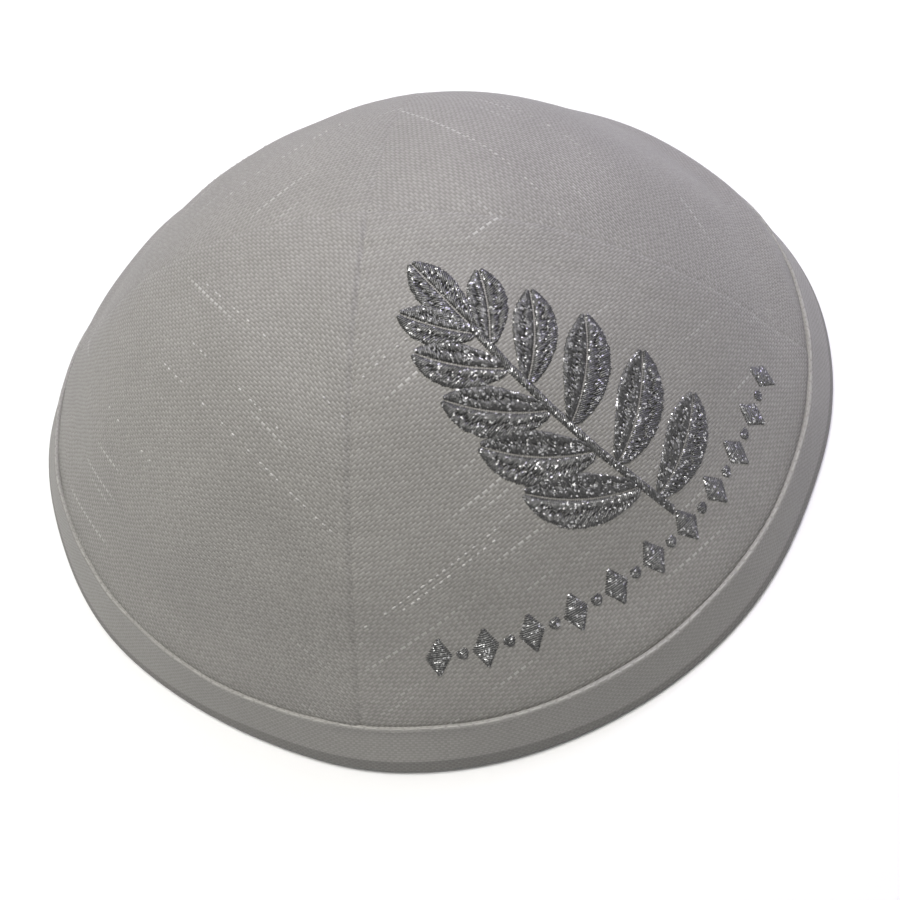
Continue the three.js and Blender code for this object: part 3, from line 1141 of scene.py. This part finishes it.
def foil_thread_material():
    material, tree, shader = principled("silver_foil_thread")
    cells = add_node(tree, "TexVoronoi", {"Vector": object_place(tree), "Scale": FOIL_CELLS})
    cell = cells.outputs["Color"]
    split = add_node(tree, "SeparateColor", {0: cell}).outputs
    # The picked cells get a painted glint: near white in the colour under any lamp, and less rough.
    painted_glint = ramp_node(tree, split[0], *FOIL_PAINTED_GLINT_EDGE)
    tone = math_node(tree, "MULTIPLY", split[1], tone_of_thread(tree))
    dull = mix_color(tree, tone, FOIL_DARK, FOIL_LIGHT)
    lean = vector_node(tree, "SUBTRACT", cell, (0.5, 0.5, 0.5))
    lean = vector_node(tree, "MULTIPLY", lean, (FOIL_LEAN, FOIL_LEAN, FOIL_LEAN))
    surface = add_node(tree, "NewGeometry").outputs["Normal"]
    set_inputs(tree, shader, {
        "Base Color": mix_color(tree, painted_glint, dull, FOIL_PAINTED_GLINT),
        "Roughness": math_node(tree, "MULTIPLY_ADD", painted_glint, -GLINT_GLOSS, FOIL_ROUGHNESS),
        "Normal": vector_node(tree, "NORMALIZE", vector_node(tree, "ADD", surface, lean)),
        "Metallic": FOIL_METAL,
    })
    return material


def plain_thread_material(name, dark):
    material, tree, shader = principled(name)
    light = tuple(YARN_PALER * channel for channel in dark[:3]) + (1.0,)
    twist = noise_node(tree, object_place(tree), YARN_TWIST_SCALE, detail=1.0)
    set_inputs(tree, shader, {
        "Base Color": mix_color(tree, tone_of_thread(tree), dark, light),
        "Normal": bump_node(tree, twist, YARN_BUMP, YARN_TWIST_DEPTH),
        "Roughness": YARN_MATT,
    })
    return material


embroidery.data.materials.append(foil_thread_material())
edge_stitches.data.materials.append(plain_thread_material("sewing_thread", SEWING_DARK))
slub_material = plain_thread_material("slub_yarn", SLUB_DARK)
for piece in slub_pieces.values():
    piece.data.materials.append(slub_material)
print("thread materials on:", embroidery.name, edge_stitches.name)

# %% [markdown]

# %% [markdown]
# Floor and light. The cap lies on a plain pale floor, which fades out away from it, so that a low view
# shows a pale wall and no horizon. Two wide soft lights hang almost overhead, a little behind the cap,
# so the crown is brightest and the near rim falls off. A weak warm one stands low on the left and picks
# out the rim there, and a cool one stands behind. Two small lamps give the foil thread something to
# mirror. A picture of a real studio could light it too, but lamps are easier to learn from.

# %% Floor
FLOOR_SIZE = 6.0
FLOOR_FADE = (0.4, 1.0)
FLOOR_DARK = (0.87, 0.87, 0.867, 1.0)
FLOOR_LIGHT = (0.90, 0.90, 0.897, 1.0)
FLOOR_GRAIN_SCALE = 30.0
FLOOR_ROUGHNESS = 0.8


def make_floor():
    bpy.ops.mesh.primitive_plane_add(size=FLOOR_SIZE, location=(0.0, 0.0, 0.0))
    floor = bpy.context.object
    floor.name = "floor"
    material, tree, shader = principled("pale_floor")
    place = object_place(tree)
    grain = noise_node(tree, place, FLOOR_GRAIN_SCALE, detail=4.0)
    fade = ramp_node(tree, length_node(tree, place), *FLOOR_FADE)
    set_inputs(tree, shader, {
        "Base Color": mix_color(tree, grain, FLOOR_DARK, FLOOR_LIGHT),
        "Alpha": math_node(tree, "SUBTRACT", 1.0, fade),
        "Roughness": FLOOR_ROUGHNESS,
    })
    floor.data.materials.append(material)


make_floor()
print("floor fades out at m:", FLOOR_FADE)

# %% Lights and backdrop
LIGHT_AIM = (0.0, 0.0, 0.02)
LIGHT_TABLE = [
    dict(name="overhead_softbox", place=(-0.09, 0.09, 0.70), size=0.5, power=4.6, color=(1.0, 0.985, 0.96)),
    dict(name="ceiling_softbox", place=(-0.25, 0.35, 3.0), size=2.4, power=24.5, color=(1.0, 0.985, 0.96)),
    dict(name="left_fill", place=(-0.85, 0.05, 0.30), size=0.30, power=0.25, color=(1.0, 0.95, 0.88)),
    dict(name="back_fill", place=(0.30, 0.65, 0.55), size=0.30, power=1.0, color=(1.0, 0.85, 1.8)),
    dict(name="sparkle_back", place=(0.10, 0.55, 0.70), size=0.05, power=0.4, color=(1.0, 1.0, 1.0)),
    dict(name="sparkle_right", place=(0.55, -0.10, 0.75), size=0.05, power=0.05, color=(0.98, 0.97, 1.0)),
]
ROOM_COLOR = (0.95, 0.97, 1.0, 1.0)
ROOM_LIGHT = 0.14
WALL_LIGHT = 0.62


def hang_light(name, place, size, power, color):
    light = bpy.data.lights.new(name, "AREA")
    light.size = size
    light.energy = power
    light.color = color
    lamp = bpy.data.objects.new(name, light)
    lamp.location = place
    lamp.rotation_euler = (Vector(LIGHT_AIM) - Vector(place)).to_track_quat("-Z", "Y").to_euler()
    bpy.context.scene.collection.objects.link(lamp)


def make_backdrop():
    """A dim room lights the cap from all round, and the camera sees it as a pale wall."""
    world = bpy.data.worlds.new("studio")
    world.use_nodes = True
    tree = world.node_tree
    dim = tree.nodes["Background"]
    set_inputs(tree, dim, {"Color": ROOM_COLOR, "Strength": ROOM_LIGHT})
    pale = add_node(tree, "Background", {"Color": ROOM_COLOR, "Strength": WALL_LIGHT})
    seen = add_node(tree, "LightPath").outputs["Is Camera Ray"]
    mix = add_node(tree, "MixShader", {0: seen, 1: dim.outputs[0], 2: pale.outputs[0]})
    set_inputs(tree, tree.nodes["World Output"], {"Surface": mix.outputs[0]})
    bpy.context.scene.world = world


for row in LIGHT_TABLE:
    hang_light(**row)
make_backdrop()
bpy.context.scene.view_settings.view_transform = "Standard"
print("lights:", [row["name"] for row in LIGHT_TABLE])

# %% [markdown]
# The camera. The photograph looks down on the cap from close by, at about 52 degrees, turned about a
# quarter of a right angle toward the embroidered panel, and the camera was held askew, so the picture is
# rolled. It could be placed by eye, but these values come from laying the formula's rim, hem and seams
# over the photograph.

# %% Camera
CAMERA_AZIMUTH = 24.53
CAMERA_ELEVATION = 51.69
CAMERA_DISTANCE = 191.6
CAMERA_PIVOT = (0.0, 0.0, 20.0)
CAMERA_AIM = (14.0, -28.57, 20.0)
CAMERA_ROLL = 21.08
FOCAL_PIXELS = 907.9
IMAGE_PIXELS = 900
SENSOR = 36.0
NEAREST_SEEN = 0.01


def place_camera():
    azimuth, elevation = math.radians(CAMERA_AZIMUTH), math.radians(CAMERA_ELEVATION)
    back = Vector((
        math.sin(azimuth) * math.cos(elevation),
        -math.cos(azimuth) * math.cos(elevation),
        math.sin(elevation),
    ))
    shift = Vector(FOOTPRINT_MIDDLE)
    eye = (Vector(CAMERA_PIVOT) + back * CAMERA_DISTANCE - shift) * MM
    forward = ((Vector(CAMERA_AIM) - shift) * MM - eye).normalized()
    right = forward.cross(Vector((0.0, 0.0, 1.0))).normalized()
    up = right.cross(forward)
    roll = math.radians(CAMERA_ROLL)
    rolled_right = right * math.cos(roll) - up * math.sin(roll)
    rolled_up = right * math.sin(roll) + up * math.cos(roll)
    data = bpy.data.cameras.new("camera")
    data.sensor_width = SENSOR
    data.lens = FOCAL_PIXELS / IMAGE_PIXELS * SENSOR
    data.clip_start = NEAREST_SEEN
    camera = bpy.data.objects.new("camera", data)
    axes = Matrix((rolled_right, rolled_up, -forward)).transposed().to_4x4()
    camera.matrix_world = Matrix.Translation(eye) @ axes
    bpy.context.scene.collection.objects.link(camera)
    bpy.context.scene.camera = camera
    return camera


camera = place_camera()
print("camera at mm:", [round(v / MM) for v in camera.location], "lens:", round(camera.data.lens, 1))
